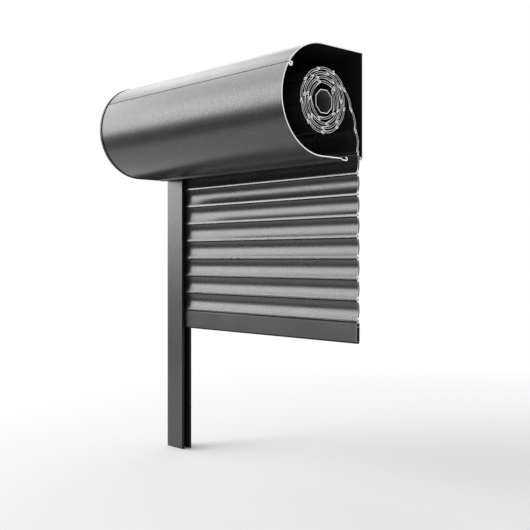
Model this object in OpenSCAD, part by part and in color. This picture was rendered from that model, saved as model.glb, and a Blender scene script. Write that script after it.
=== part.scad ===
// Exterior roller shutter with a half-round headbox, cut open at the right end.
// X runs along the shaft, Y into the wall, Z up.
// The origin is on the wall plane, at shaft height and mid-length.

/* [Headbox] */
// Length of the casing sheets
box_len = 540; // [460:10:900]
// Outer radius of the half-round front
casing_r = 96; // [94:0.5:110]
// Distance from the wall to the shaft axis
shaft_wall = 99.5; // [97:0.5:108]
// How far the arc's centre lies in front of the shaft axis
arc_forward = 3; // [0:0.5:6]
// How far the arc's centre lies above the shaft axis
arc_rise = 2.5; // [0:0.5:5]
// Wall of the casing sheets
sheet_t = 2; // [1.4:0.1:2.4]
// Angle of the hook joint above the horizontal
joint_angle = 34; // [25:1:45]
// Radius of the bead that the front cover hangs on
hook_r = 3; // [2:0.1:3.4]
// Distance from the wall to the front cover's lower lip
mouth_w = 40; // [36:0.5:48]
// Height of the rear panel's lower edge over the casing's lowest line
rear_gap = 2.5; // [1.5:0.5:8]
// Radius of the four wall screw holes in the rear panel
box_hole_r = 3; // [2:0.1:4]
// Distance between the wall screw holes along the box
box_hole_x = 400; // [300:10:440]
// Distance between the upper and lower wall screw holes
box_hole_z = 145; // [130:1:150]

/* [End cap] */
// Thickness of the end cap's plate
cap_t = 4; // [3:0.5:6]
// Open joint between the casing and the cap's plate
cap_gap = 2; // [1:0.5:4]
// How far the plate stands proud of the casing
cap_rim = 0.8; // [0.4:0.1:2]
// Length of the spigot inside the casing
spigot_len = 14; // [8:1:20]
// Wall of the spigot
spigot_t = 2.5; // [1.5:0.1:4]

/* [Shaft and motor] */
// Octagonal shaft across its flats
shaft_af = 40; // [38:0.5:42]
// Wall of the shaft
shaft_t = 1.2; // [0.8:0.1:1.5]
// Diameter of the motor tube
motor_d = 35; // [32:0.5:35]
// Length of the motor tube
motor_len = 360; // [250:10:420]
// Diameter of the motor head
head_d = 46; // [42:1:52]
// Length of the motor head
head_len = 14; // [10:1:16]
// Diameter of the motor's output shaft
output_d = 10; // [8:0.5:12]
// Side of the square motor bracket
bracket_w = 76; // [70:1:90]
// Thickness of the motor bracket
bracket_t = 3; // [2:0.5:4]

/* [Curtain] */
// Distance between the hinge lines of neighbouring slats
pitch = 37; // [36:0.25:39]
// Distance from the wall to the hanging slats' hinge line
curtain_wall = 14.2; // [13:0.1:15]
// Depth of the first hanging hinge line below the shaft axis
feed_drop = 78.5; // [74:0.5:84]
// Number of slats that hang below the first one
hanging = 7; // [4:1:9]
// Wall of a slat
skin = 0.5; // [0.4:0.05:0.9]
// Concave front face of a slat at its middle, from the hinge line
front_bow = 1.9; // [1.7:0.05:2.2]
// Convex rear face of a slat at its middle, from the hinge line
back_bow = 5.8; // [5.4:0.1:6.2]
// Radius of the outermost hinge line on the roll
roll_r = 56.4; // [54:0.2:57.4]
// Radial step of the roll in one turn
roll_step = 7; // [7:0.05:7.6]
// Play at the open joint between the running and the hanging slats
open_play = 0.8; // [0.6:0.05:1]
// How far the slats reach into the rail's groove
slat_reach = 20; // [16:0.5:23]

/* [Bottom bar] */
// Thickness of the bottom bar
bar_t = 8.8; // [8:0.1:9.4]
// Height of the bottom bar below its hinge line
bar_h = 37; // [30:0.5:45]
// Wall of the bottom bar
bar_wall = 1.4; // [1:0.1:1.8]
// Height of the seal under the bottom bar
bar_seal_h = 3; // [2:0.5:6]

/* [Guide rail] */
// Width of the rail along the wall
rail_w = 53; // [50:0.5:60]
// Depth of the rail, out from the wall
rail_d = 26; // [24:0.5:32]
// Length of the rail
rail_len = 582; // [480:5:900]
// Wall of the rail
rail_t = 2; // [1.4:0.1:2.4]
// Width of the groove
groove_w = 14; // [13:0.1:15]
// Depth of the groove
groove_depth = 27; // [25:0.5:30]
// Radius of the rail's outer corners
rail_round = 1; // [0.5:0.1:1.3]
// How far the seal strips stop below the rail's top, clear of the slats that lean in
seal_short = 8; // [6:1:20]
// Radius of the wall screw holes in the rail
rail_hole_r = 2.75; // [2:0.05:3.5]
// Distance between the wall screw holes in the rail
rail_hole_step = 220; // [150:5:230]
// Radius of the flush plugs in front of the screw holes
plug_r = 5; // [4:0.5:6]

/* [Hidden] */
$fn = 48;

// Places that several pieces share
right_x = box_len / 2;
left_x = -box_len / 2;
shaft_c = [-shaft_wall, 0];
arc_c = [-(shaft_wall + arc_forward), arc_rise];
top_z = arc_rise + casing_r;
bottom_z = arc_rise - casing_r;
cap_inner_x = left_x - cap_gap;
cap_outer_x = cap_inner_x - cap_t;
cap_chamfer = 1;
rail_x = cap_outer_x;
groove_x = rail_x + rail_w;
slat_x = groove_x - slat_reach;
// Open joint between the headbox and the rail's top
rail_play = 0.5;
rail_top = bottom_z - cap_rim - rail_play;
rear_z = bottom_z + rear_gap;

// The hook joint: the bead's centre, and the clearance and wall of the cover's hook round it
hook_play = 0.3;
hook_t = 1.5;
// How far the hook lies below the casing's outer face
hook_cover = 0.4;
hook_depth = hook_r + hook_play + hook_t + hook_cover;
hook_a = 180 - joint_angle;
hook_c = arc_c + (casing_r - hook_depth) * [cos(hook_a), sin(hook_a)];
// The upper sheet ends just before the bead, and the cover's sheet starts just after it
sheet_end = 0.1;
sheet_start = 2;

// Draws a shape that lies across the shaft from one X to another
module along_x(x0, x1)
    translate([x0, 0, 0]) rotate([90, 0, 90]) linear_extrude(x1 - x0) children();

// A round bar along X from x0, whose axis passes the place p across the shaft
module bar_x(x0, p, r, h) translate([x0, p.x, p.y]) rotate([0, 90, 0]) cylinder(r = r, h = h);

// A ring between two radii, cut to a sector of under 360 degrees
module ring_sector(r_out, r_in, a0, a1, steps = 8) {
    reach = 1.6 * r_out;
    intersection() {
        difference() {
            circle(r_out);
            circle(r_in);
        }
        polygon(concat([[0, 0]], arc(reach, a0, a1, steps)));
    }
}

// Points of an arc, and of a shallow bow from p to q that passes x = mid half way
function arc(r, a0, a1, n, c = [0, 0]) =
    [for (i = [0 : n]) let (a = a0 + (a1 - a0) * i / n) c + r * [cos(a), sin(a)]];
function bow_x(p, q, mid, t) = p.x + (q.x - p.x) * t + 4 * t * (1 - t) * (mid - (p.x + q.x) / 2);
function bow(p, q, mid, n) =
    [for (i = [0 : n]) let (t = i / n) [bow_x(p, q, mid, t), p.y + (q.y - p.y) * t]];
function tail(list) = [for (i = [1 : len(list) - 1]) list[i]];

// The headbox

// D-shaped outline of the casing, drawn in by a given amount and left flush with the wall
module casing_outline(inset) {
    r = casing_r - inset;
    intersection() {
        translate(arc_c) circle(r, $fn = 96);
        translate(arc_c - [2 * r, 2 * r]) square([2 * r, 4 * r]);
    }
    translate([arc_c.x, bottom_z + inset]) square([-arc_c.x - max(inset, 0), top_z - bottom_z - 2 * inset]);
}

// The bead's neck, from its centre to the upper sheet, in the hook's own axes: outwards, and along the arc
module hook_neck() {
    // The neck's foot in the bead, its lap in the sheet, and where its two sides meet the sheet
    foot = 1.6;
    sheet_in = hook_depth - sheet_t + 0.6;
    polygon([[-0.3, -foot], [foot, -0.3], [sheet_in, -0.9], [sheet_in, -3.6]]);
}

module top_rear_panel() {
    end_a = hook_a - asin(sheet_end / casing_r);
    hem_w = 4.5;
    hem_h = 5;
    color("dimgray") difference() {
        union() {
            along_x(left_x, right_x) {
                translate(arc_c) ring_sector(casing_r, casing_r - sheet_t, 90, end_a, $fn = 96);
                translate([arc_c.x, top_z - sheet_t]) square([-arc_c.x, sheet_t]);
                translate([-sheet_t, rear_z]) square([sheet_t, top_z - rear_z]);
                translate([-sheet_t - hem_w, rear_z]) square([hem_w, sheet_t]);
                translate([-sheet_t - hem_w, rear_z]) square([sheet_t, hem_h]);
            }
            along_x(left_x, right_x) translate(hook_c) rotate(hook_a) hook_neck();
            bar_x(left_x, hook_c, hook_r, box_len);
        }
        for (x = [-1, 1], z = [-1, 1])
            translate([x * box_hole_x / 2, 1, arc_rise + z * box_hole_z / 2])
                rotate([90, 0, 0]) cylinder(r = box_hole_r, h = sheet_t + 2);
        for (y = panel_screw_ys)
            translate([panel_screw_x, y, top_z - sheet_t - 1])
                cylinder(r = panel_screw_r + panel_screw_play, h = sheet_t + 2);
    }
}

module front_cover() {
    start_a = hook_a + asin(sheet_start / casing_r);
    // The hook round the bead, between two angles from the joint's own direction
    hook_in = hook_r + hook_play;
    hook_span = [30, 270];
    // The lower edge steps down over a ramp and curls up into a stiff lip
    step_h = 2.5;
    ramp_w = 4;
    lip_w = 9;
    curl_r = 3.4;
    curl_span = [-90, 150];
    curl_y = -mouth_w - curl_r;
    lip_y = curl_y - lip_w;
    ramp_y = lip_y - ramp_w;
    lip_z = bottom_z - step_h;
    color("dimgray") along_x(left_x, right_x) {
        translate(arc_c) ring_sector(casing_r, casing_r - sheet_t, start_a, 270, $fn = 96);
        translate(hook_c) rotate(hook_a) ring_sector(hook_in + hook_t, hook_in, hook_span[0], hook_span[1]);
        translate([arc_c.x, bottom_z]) square([ramp_y - arc_c.x, sheet_t]);
        polygon([[ramp_y, bottom_z], [lip_y, lip_z], [lip_y, lip_z + sheet_t], [ramp_y, bottom_z + sheet_t]]);
        translate([lip_y, lip_z]) square([lip_w, sheet_t]);
        translate([curl_y, lip_z + curl_r]) ring_sector(curl_r, curl_r - sheet_t, curl_span[0], curl_span[1]);
    }
}

// Screws through the casing's top into the end cap's spigot, close to the wall
panel_screw_r = 1.9;
panel_screw_play = 0.2;
panel_screw_x = left_x + spigot_len / 2;
panel_screw_ys = [-75, -25];

module end_cap() {
    fit = 0.4;
    spigot_out = sheet_t + fit;
    peg = [12, 10, 26];
    peg_x = rail_x + (rail_w - groove_depth) / 2 - peg.x / 2;
    peg_y = -rail_d / 2 - peg.y / 2;
    arm_h = 9;
    arm_play = 0.3;
    // What the spigot leaves free: the mouth with the running slats, and the hook joint
    mouth_clear = 26;
    mouth_h = 25;
    joint_clear = 9;
    color("silver") difference() {
        union() {
            along_x(cap_outer_x, cap_outer_x + cap_chamfer) casing_outline(cap_chamfer - cap_rim);
            along_x(cap_outer_x + cap_chamfer, cap_inner_x) casing_outline(-cap_rim);
            difference() {
                along_x(cap_inner_x, left_x + spigot_len) difference() {
                    casing_outline(spigot_out);
                    casing_outline(spigot_out + spigot_t);
                }
                // The spigot stops at the mouth and at the hook joint
                translate([cap_inner_x, -mouth_w - mouth_clear, bottom_z - 1])
                    cube([box_len, mouth_w + mouth_clear + 1, mouth_h]);
                bar_x(cap_inner_x, hook_c, joint_clear, spigot_len * 3);
            }
            // Arm and peg that line the rail up with the headbox
            translate([cap_inner_x - 1, peg_y, rail_top + arm_play])
                cube([peg_x + peg.x - cap_inner_x + 1, peg.y, arm_h]);
            translate([peg_x, peg_y, rail_top - peg.z]) cube([peg.x, peg.y, peg.z + 1]);
        }
        bar_x(cap_outer_x - 1, inlet_c, inlet_hole_r + seat_fit, cap_t + 2);
        for (p = bracket_screw_places) bar_x(cap_inner_x - screw_len, p, screw_r + seat_fit, screw_len + 1);
        for (y = panel_screw_ys)
            translate([panel_screw_x, y, top_z - spigot_out - spigot_t - 1])
                cylinder(r = panel_screw_r + seat_fit, h = spigot_t + 2);
    }
}

module panel_screws() {
    shank = sheet_t + spigot_t;
    head_h = 1;
    color("gray") for (y = panel_screw_ys) translate([panel_screw_x, y, top_z]) {
        translate([0, 0, -shank]) cylinder(r = panel_screw_r, h = shank);
        cylinder(r = panel_screw_r * 2, h = head_h);
    }
}

// Grommet for the motor's cable, near the wall
inlet_hole_r = 5;
inlet_wall = 24;
inlet_drop = 38.5;
inlet_c = [-inlet_wall, top_z - inlet_drop];

module cable_inlet() {
    bore = 2.5;
    flange_w = 2.5;
    flange_t = 1.8;
    color("black") difference() {
        union() {
            bar_x(cap_outer_x, inlet_c, inlet_hole_r, cap_t);
            bar_x(cap_inner_x, inlet_c, inlet_hole_r + flange_w, flange_t);
        }
        bar_x(cap_outer_x - 1, inlet_c, bore, cap_t + flange_t + 2);
    }
}

// Motor and shaft

screw_r = 2.5;
screw_len = 3;
screw_edge = 8;
// Play of a press fit or a seat between two pieces, on the radius
seat_fit = 0.1;
bracket_x = cap_inner_x;
bracket_screw_places = [for (y = [-1, 1], z = [-1, 1]) shaft_c + (bracket_w / 2 - screw_edge) * [y, z]];

module motor_bracket() {
    hole_play = 0.2;
    color("silver") difference() {
        translate([bracket_x, shaft_c.x - bracket_w / 2, -bracket_w / 2])
            cube([bracket_t, bracket_w, bracket_w]);
        for (p = bracket_screw_places) bar_x(bracket_x - 1, p, screw_r + hole_play, bracket_t + 2);
    }
}

module bracket_screws() {
    tip_play = 0.3;
    head_h = 2.2;
    shank = screw_len - tip_play;
    color("gray") for (p = bracket_screw_places) {
        bar_x(bracket_x - shank, p, screw_r, shank + bracket_t);
        bar_x(bracket_x + bracket_t, p, screw_r * 1.8, head_h);
    }
}

head_x = bracket_x + bracket_t;
motor_x = head_x + head_len;
motor_end_x = motor_x + motor_len;
output_bore = 14;
// Play of the motor's turning fits, on the diameter
motor_fit = 0.1;
// The shaft starts behind the crown ring's collar, which runs clear of the motor head
collar_t = 4;
collar_play = 2;
shaft_x = motor_x + collar_play + collar_t;

module motor_head() {
    rim_h = 2;
    rim_in = 2;
    color("gray") {
        bar_x(head_x, shaft_c, head_d / 2, head_len - rim_h);
        bar_x(motor_x - rim_h, shaft_c, head_d / 2 - rim_in, rim_h);
    }
}

module motor_tube() {
    color("lightgray") difference() {
        bar_x(motor_x, shaft_c, motor_d / 2, motor_len);
        bar_x(motor_end_x - output_bore, shaft_c, (output_d + motor_fit) / 2, output_bore + 1);
    }
}

wheel_gap = 2;
wheel_len = 16;

module motor_output() {
    end_play = 0.5;
    tip = 3;
    x0 = motor_end_x - output_bore + end_play;
    color("silver") bar_x(x0, shaft_c, output_d / 2, motor_end_x + wheel_gap + wheel_len + tip - x0);
}

// Octagon with flats, and with one flat facing the innermost hinge line
module octagon(af) rotate(first_pivot_a + 22.5) circle(r = af / 2 / cos(22.5), $fn = 8);
plug_fit = 0.1;
plug_af = shaft_af - 2 * shaft_t - 2 * plug_fit;

module drive_wheel() {
    x0 = motor_end_x + wheel_gap;
    color("dimgray") difference() {
        along_x(x0, x0 + wheel_len) translate(shaft_c) octagon(plug_af);
        bar_x(motor_end_x, shaft_c, (output_d + motor_fit) / 2, wheel_len * 2);
    }
}

module crown_ring() {
    collar_rim = 2;
    crown_len = 20;
    color("dimgray") difference() {
        union() {
            bar_x(shaft_x - collar_t, shaft_c, shaft_af / 2 + collar_rim, collar_t);
            along_x(shaft_x, shaft_x + crown_len) translate(shaft_c) octagon(plug_af);
        }
        bar_x(motor_x, shaft_c, (motor_d + motor_fit) / 2, crown_len * 3);
    }
}

rivet_r = 1.5;
rivet_fit = 0.15;
rivet_off = 4.5;
hanger_t = 1.2;
hanger_w = 40;
hanger_foot = 14;
hanger_web = 1.2;
// Where the hanger's socket holds the first slat's bead, from the slat's own axis
hanger_hold = [195, 335];
// The hangers sit at the middle of the slats and this share of their length to each side
hanger_spread = 0.32;
hanger_xs = [for (k = [-1 : 1]) (slat_x + right_x) / 2 + k * (right_x - slat_x) * hanger_spread];

// Places a shape standing on the shaft's flat under the innermost hinge line: X outwards, Y along the flat
module on_flat(x) translate([x, shaft_c.x, 0]) rotate([first_pivot_a, 0, 0]) children();

module rivet_holes(h0, h1)
    for (x = hanger_xs, s = [-1, 1]) on_flat(x)
        translate([s * hanger_w / 4, h0, s * rivet_off]) rotate([-90, 0, 0])
            cylinder(r = rivet_r + rivet_fit, h = h1 - h0);

module roller_shaft() {
    color("silver") difference() {
        along_x(shaft_x, right_x) translate(shaft_c) difference() {
            octagon(shaft_af);
            octagon(shaft_af - 2 * shaft_t);
        }
        rivet_holes(shaft_af / 2 - 2 * shaft_t, shaft_af / 2 + 1);
    }
}

module shaft_hangers() {
    flat = shaft_af / 2;
    r1 = norm(first_pivot);
    slat_a = chord_angle(wound[len(wound) - 1], wound[len(wound) - 2]);
    color("gray") difference() {
        for (x = hanger_xs) along_x(x - hanger_w / 2, x + hanger_w / 2) translate(shaft_c) {
            rotate(first_pivot_a) translate([flat, -hanger_foot / 2]) square([hanger_t, hanger_foot]);
            rotate(first_pivot_a) translate([flat + hanger_t / 2, -hanger_web / 2])
                square([r1 - socket_mid - flat - hanger_t / 2, hanger_web]);
            translate(first_pivot) rotate(slat_a)
                ring_sector(socket_out, socket_in, hanger_hold[0], hanger_hold[1]);
        }
        rivet_holes(shaft_af / 2 - 1, shaft_af / 2 + hanger_t + 1);
    }
}

module hanger_rivets() {
    seat = shaft_af / 2 + hanger_t;
    shank = hanger_t + shaft_t;
    head_h = 1.2;
    color("silver") for (x = hanger_xs, s = [-1, 1]) on_flat(x)
        translate([s * hanger_w / 4, seat, s * rivet_off]) rotate([-90, 0, 0]) {
            translate([0, 0, -shank]) cylinder(r = rivet_r, h = shank);
            cylinder(r = rivet_r * 2, h = head_h);
        }
}

// The slat: hinge at the origin, next hinge at -pitch, rear side towards +X of its own plane

bead_r = 1.4;
socket_in = 1.75;
socket_out = 2.45;
socket_mid = (socket_in + socket_out) / 2;
neck_in = 2.8;
neck_out = 3.5;
// Angles of the link to the bead, of the socket's two ends, and of the faces where they leave the neck
link_a = 78;
link_w = 1;
socket_a0 = 150;
socket_a1 = 325;
front_a = 250;
back_a = -42;
// How much further the socket's inner side runs round than its outer side
socket_lead = 8;
// Height of the body's underside over the hinge below it
underside = 4.1;

front_top = neck_in * [cos(front_a), sin(front_a)];
front_end = [0, -pitch] + socket_out * [cos(socket_a0), sin(socket_a0)];
back_top = neck_out * [cos(back_a), sin(back_a)];
back_end = [back_top.x, -pitch + underside];
function front_x(y) = bow_x(front_top, front_end, front_bow, (front_top.y - y) / (front_top.y - front_end.y));
function back_x(y) = bow_x(back_end, back_top, back_bow, (y - back_end.y) / (back_top.y - back_end.y));

// The hook at the upper end: from the link round the inside of the neck, and back up the outside
link_tip = 0.4;
link_dir = [cos(link_a), sin(link_a)];
link_side = [-sin(link_a), cos(link_a)] * link_w / 2;
hook_inside = concat(
    [link_tip * link_dir + link_side, link_tip * link_dir - link_side],
    arc(neck_in, link_a - asin(link_w / 2 / neck_in), front_a - 360, 10));
hook_outside = arc(neck_out, back_a, link_a + asin(link_w / 2 / neck_out), 8);
slat_outline = concat(
    hook_inside,
    tail(bow(front_top, front_end, front_bow, 10)),
    tail(arc(socket_out, socket_a0, socket_a1, 9, [0, -pitch])),
    arc(socket_in, socket_a1, socket_a0 - socket_lead, 9, [0, -pitch]),
    [[front_x(back_end.y) + skin, back_end.y]],
    bow(back_end, back_top, back_bow, 10),
    tail(hook_outside));

// The chamber inside a slat, and with a greater wall the plug that fits it
function chamber(wall, y0, y1, n = 8) = concat(
    [for (i = [0 : n]) let (y = y0 + (y1 - y0) * i / n) [front_x(y) + wall, y]],
    [for (i = [n : -1 : 0]) let (y = y0 + (y1 - y0) * i / n) [back_x(y) - wall, y]]);
chamber_crown = 1.7;
chamber_top = -neck_in - chamber_crown;
chamber_end = back_end.y + skin;

// A slat, turned and moved so that its hinge is at p
module slat(p, a, bead = true) {
    along_x(slat_x, right_x) translate(shaft_c + p) rotate(a) difference() {
        polygon(slat_outline);
        polygon(chamber(skin, chamber_top, chamber_end));
    }
    if (bead) bar_x(slat_x, shaft_c + p, bead_r, right_x - slat_x, $fn = 24);
}

// The roll and the slats that run down from it, in the plane across the shaft, from the shaft's axis

function chord_angle(p, q) = atan2(q.y - p.y, q.x - p.x) + 90;
function polar(r, a) = r * [cos(a), sin(a)];

// Leans of the three running slats from the vertical, scaled until their upper end meets the roll
feed_lean = [31, 19.5, 10];
feed_end = [shaft_wall - curtain_wall, -feed_drop + open_play];
function feed_pivot(k, i) =
    i == 3 ? feed_end : feed_pivot(k, i + 1) + pitch * [-sin(k * feed_lean[i]), cos(k * feed_lean[i])];
function feed_scale(lo, hi, n) = let (k = (lo + hi) / 2)
    n == 0 ? k : norm(feed_pivot(k, 0)) > roll_r ? feed_scale(k, hi, n - 1) : feed_scale(lo, k, n - 1);
feed_k = feed_scale(0.4, 2, 30);
feed = [for (i = [0 : 3]) feed_pivot(feed_k, i)];

// Hinge lines on the roll, from its outer end inwards, each one pitch from the last
feed_a = atan2(feed[0].y, feed[0].x);
first_turn = 5.6;
roll_inner = shaft_af / 2 / cos(22.5) + first_turn;
function roll_at(t) = polar(roll_r - roll_step * t / 360, feed_a + t);
function next_turn(t, lo, hi, n) = let (m = (lo + hi) / 2)
    n == 0 ? m :
    norm(roll_at(m) - roll_at(t)) < pitch ? next_turn(t, m, hi, n - 1) : next_turn(t, lo, m, n - 1);
function wind(t) = let (u = next_turn(t, t, t + 150, 30))
    roll_r - roll_step * u / 360 < roll_inner ? [t] : concat([t], wind(u));
wound = [for (t = wind(0)) roll_at(t)];
wound_n = len(wound) - 1;
first_pivot = wound[wound_n];
first_pivot_a = atan2(first_pivot.y, first_pivot.x);

// One of the four runs of wound slats, the first next to the shaft
module wound_run(i) {
    from = floor(wound_n * (4 - i) / 4);
    to = floor(wound_n * (5 - i) / 4) - 1;
    color("gray") for (k = [from : to]) slat(wound[k + 1], chord_angle(wound[k + 1], wound[k]));
}

module feed_slat(i) color("gray") slat(feed[i - 1], chord_angle(feed[i - 1], feed[i]));

// A hanging slat; the top one has no bead, because the joint above it is the open one
module hanging_slat(i) color("gray") slat([shaft_wall - curtain_wall, -feed_drop - i * pitch], 0, i > 0);

// The bottom bar and what is on the slats' ends

bar_pivot = [shaft_wall - curtain_wall, -feed_drop - (hanging + 1) * pitch];
bar_shift = 0.7;
bar_front = (front_top.x + back_top.x) / 2 - bar_t / 2 + bar_shift;
bar_back = bar_front + bar_t;
bar_shoulder = -4.6;
bar_web = -11.3;
seal_slot = 3;

module at_bar() translate(shaft_c + bar_pivot) children();

module bar_section() difference() {
    polygon(concat(
        hook_inside,
        [[bar_front, bar_shoulder], [bar_front, -bar_h], [bar_back, -bar_h], [bar_back, bar_shoulder]],
        hook_outside));
    translate([bar_front + bar_wall, bar_web + bar_wall])
        square([bar_t - 2 * bar_wall, bar_shoulder - bar_web - 1.2 * bar_wall]);
    translate([bar_front + bar_wall, -bar_h + bar_wall])
        square([bar_t - 2 * bar_wall, bar_h - bar_wall + bar_web]);
    translate([(bar_front + bar_back - seal_slot) / 2, -bar_h - 1]) square([seal_slot, bar_wall + 2]);
}

module bottom_bar() color("dimgray") {
    along_x(slat_x, right_x) at_bar() bar_section();
    bar_x(slat_x, shaft_c + bar_pivot, bead_r, right_x - slat_x, $fn = 24);
}

module bar_seal() {
    fit = 0.1;
    mid = (bar_front + bar_back) / 2;
    web_w = seal_slot - 2 * fit;
    lip_w = bar_t - 2;
    lip_in = 0.8;
    head_h = 1.2;
    head_w = web_w + 2;
    color("black") along_x(slat_x, right_x) at_bar() {
        translate([mid - lip_w / 2 + lip_in, -bar_h - bar_seal_h])
            square([lip_w - 2 * lip_in, bar_seal_h / 2]);
        translate([mid - lip_w / 2, -bar_h - bar_seal_h / 2]) square([lip_w, bar_seal_h / 2]);
        translate([mid - web_w / 2, -bar_h]) square([web_w, bar_wall + fit]);
        translate([mid - head_w / 2, -bar_h + bar_wall + fit]) square([head_w, head_h]);
    }
}

module bar_glide() {
    plate_t = 3.5;
    plug = 18;
    fit = 0.15;
    seat = bar_wall + fit;
    seal_head = bar_wall + 1.6;
    color("black") {
        along_x(slat_x - plate_t, slat_x) at_bar()
            translate([bar_front, -bar_h]) square([bar_t, bar_h + bar_shoulder - 0.5]);
        along_x(slat_x - 1, slat_x + plug) at_bar()
            translate([bar_front + seat, -bar_h + seal_head])
                square([bar_t - 2 * seat, bar_h - seal_head + bar_web - fit]);
    }
}

module slat_end_locks() {
    plate_t = 2.5;
    plug = 14;
    fit = 0.15;
    color("black") for (i = [0 : hanging]) translate([0, 0, -feed_drop - i * pitch]) {
        along_x(slat_x - plate_t, slat_x) translate([-curtain_wall, 0])
            polygon(chamber(0, chamber_top, chamber_end, 5));
        along_x(slat_x - 1, slat_x + plug) translate([-curtain_wall, 0])
            polygon(chamber(skin + fit, chamber_top - fit, chamber_end + fit, 8));
    }
}

// The guide rail, drawn as seen from above

groove_mid = -curtain_wall + (bar_front + bar_back) / 2;
groove_y0 = groove_mid - groove_w / 2;
groove_y1 = groove_mid + groove_w / 2;
seal_w = 6;
seal_deep = 2.4;
// The rail's lip over the seal's slot, and the slot's distance from the rail's edge
seal_lip = 0.8;
seal_edge = 4;
seal_x = groove_x - seal_edge - seal_w;
seal_neck = 3;
web_t = 1.6;
rail_mid_z = rail_top - rail_len / 2;
rail_hole_x = rail_x + (rail_w - groove_depth) / 2;

// What a rounded corner takes off a square one whose tip is at p, on the sides sx and sy
module corner_cut(p, sx, sy, r)
    translate(p) mirror([sx > 0 ? 0 : 1, 0]) mirror([0, sy > 0 ? 0 : 1]) difference() {
        translate([-1, -1]) square(r + 1);
        translate([r, r]) circle(r, $fn = 24);
    }

module rail_section() difference() {
    translate([rail_x, -rail_d]) square([rail_w, rail_d]);
    corner_cut([rail_x, -rail_d], 1, 1, rail_round);
    corner_cut([groove_x, -rail_d], -1, 1, rail_round);
    corner_cut([rail_x, 0], 1, -1, rail_round);
    corner_cut([groove_x, 0], -1, -1, rail_round);
    // Hollow chamber beside the groove
    translate([rail_x + rail_t, -rail_d + rail_t])
        square([rail_w - groove_depth - rail_t - web_t, rail_d - 2 * rail_t]);
    // Groove, and the slots that hold its seals
    translate([groove_x - groove_depth, groove_y0]) square([groove_depth + 1, groove_w]);
    translate([seal_x, groove_y0 - seal_deep]) square([seal_w, seal_deep - seal_lip]);
    translate([seal_x + (seal_w - seal_neck) / 2, groove_y0 - 1]) square([seal_neck, 2]);
    translate([seal_x, groove_y1 + seal_lip]) square([seal_w, seal_deep - seal_lip]);
    translate([seal_x + (seal_w - seal_neck) / 2, groove_y1 - 1]) square([seal_neck, 2]);
}

rail_hole_zs = [for (k = [-1 : 1]) rail_mid_z + k * rail_hole_step];

module guide_rail() {
    color("dimgray") difference() {
        translate([0, 0, rail_top - rail_len]) linear_extrude(rail_len) rail_section();
        for (z = rail_hole_zs) {
            translate([rail_hole_x, 1, z]) rotate([90, 0, 0]) cylinder(r = rail_hole_r, h = rail_t + 2);
            translate([rail_hole_x, -rail_d + rail_t + 1, z]) rotate([90, 0, 0])
                cylinder(r = plug_r + seat_fit, h = rail_t + 2);
        }
    }
}

// A seal strip: its foot in the rail's slot and its lip in the groove, on the front (-1) or rear (1) side
module rail_seal(side) {
    fit = 0.1;
    wall = side < 0 ? groove_y0 : groove_y1;
    lip = min(1.6, (groove_w - bar_t) / 2 - 0.6);
    color("black") translate([0, wall, rail_top - rail_len]) linear_extrude(rail_len - seal_short)
        mirror([0, side < 0 ? 1 : 0]) {
            translate([seal_x + fit, seal_lip + fit])
                square([seal_w - 2 * fit, seal_deep - seal_lip - 2 * fit]);
            translate([seal_x + (seal_w - seal_neck) / 2 + fit, -lip])
                square([seal_neck - 2 * fit, lip + seal_lip + 2 * fit]);
        }
}
module rail_seal_front() rail_seal(-1);
module rail_seal_rear() rail_seal(1);

// A collar on the rail with a flared front lip, which leads the slats from the headbox into the groove
module inlet_guide() {
    lip_h = 22;
    lip_t = 2;
    flare = 6;
    wall_t = 2.5;
    // Room under the rear panel, beside the groove's end and behind the rail's edge
    base_h = rear_z - rail_top - 0.8;
    x0 = groove_x - groove_depth + 0.5;
    x1 = groove_x - 2;
    color("black") {
        translate([0, 0, rail_top]) linear_extrude(base_h) difference() {
            translate([x0 - wall_t, groove_y0 - lip_t]) square([x1 - x0 + wall_t, groove_w + 2 * lip_t]);
            translate([x0, groove_y0]) square([groove_depth + 2, groove_w]);
        }
        along_x(x0 - wall_t, x1)
            polygon([[groove_y0 - lip_t, rail_top + base_h / 2], [groove_y0, rail_top + base_h / 2],
                     [groove_y0, rail_top + base_h], [groove_y0 - flare, rail_top + lip_h],
                     [groove_y0 - flare - lip_t, rail_top + lip_h]]);
    }
}

module rail_plugs() {
    step = 0.6;
    tail_h = 2;
    color("dimgray") for (z = rail_hole_zs) translate([rail_hole_x, -rail_d, z]) rotate([-90, 0, 0]) {
        cylinder(r = plug_r, h = rail_t);
        translate([0, 0, rail_t]) cylinder(r = plug_r - step, h = tail_h);
    }
}

top_rear_panel();
front_cover();
end_cap();
panel_screws();
cable_inlet();
motor_bracket();
bracket_screws();
motor_head();
motor_tube();
motor_output();
drive_wheel();
crown_ring();
roller_shaft();
shaft_hangers();
hanger_rivets();
for (i = [1 : 4]) wound_run(i);
for (i = [1 : 3]) feed_slat(i);
hanging_slat(0);  // top_slat
for (i = [1 : hanging]) hanging_slat(i);
bottom_bar();
bar_seal();
bar_glide();
slat_end_locks();
guide_rail();
rail_seal_front();
rail_seal_rear();
inlet_guide();
rail_plugs();
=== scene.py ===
"""Exterior roller shutter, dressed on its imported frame: headbox, wound and hanging slats, guide rail."""
import math

import bmesh
import bpy
from mathutils import Matrix, Vector, geometry


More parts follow.
